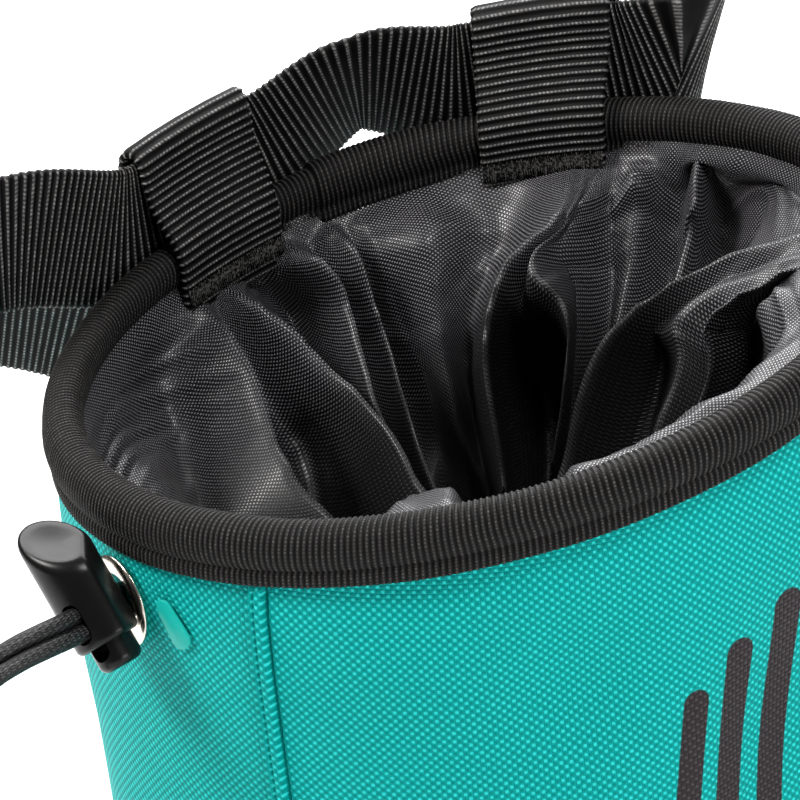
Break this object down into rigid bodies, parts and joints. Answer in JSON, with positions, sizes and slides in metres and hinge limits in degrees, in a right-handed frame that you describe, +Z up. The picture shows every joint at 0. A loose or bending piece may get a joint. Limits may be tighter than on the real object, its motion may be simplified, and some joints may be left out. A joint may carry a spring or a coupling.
{
  "type": "climbing chalk bag",
  "caption": "Round cloth chalk bag with a slanted bound rim, a gathered lining collar, belt loops, a waist belt with its buckle, and a drawcord with a sprung cord lock.",
  "frame": {"origin": "middle of the base, on the surface that the bag stands on", "axes": "+Z up; the belt loops are at the back (+Y), the cord lock at the left (-X), and the rim is higher at +X"},
  "size_m": [0.328, 0.2134, 0.1685],
  "materials": {
    "shell_cloth": "coarse plain weave, slight sheen",
    "binding_tape": "ribbed grosgrain tape, matt",
    "lining_cloth": "smooth coated nylon, satin sheen",
    "webbing": "ribbed woven webbing, matt",
    "cord": "braided cord, slight sheen",
    "black_plastic": "moulded, polished",
    "eyelet_metal": "bright pressed metal",
    "tab_film": "soft film, satin"
  },
  "bodies": {
    "bag": {"outer_shell": "shell_cloth", "base_panel": "shell_cloth", "rim_binding": "binding_tape", "collar_lining": "lining_cloth", "belt_loop_left": "webbing", "belt_loop_right": "webbing", "waist_belt": "webbing", "belt_buckle": "black_plastic", "cord_eyelet": "eyelet_metal", "eyelet_tab": "tab_film", "cord_lock_body": "black_plastic", "drawcord_upper": "cord", "drawcord_lower": "cord", "cord_knot": "cord"},
    "plunger": {"cord_lock_plunger": "black_plastic"}
  },
  "joints": [
    {"name": "plunger_press", "type": "slide", "parent": "bag", "child": "plunger", "axis": [-0.3338, 0.4813, 0.8105], "range_m": [0, 0.003], "stiffness_N_per_m": 400}
  ]
}
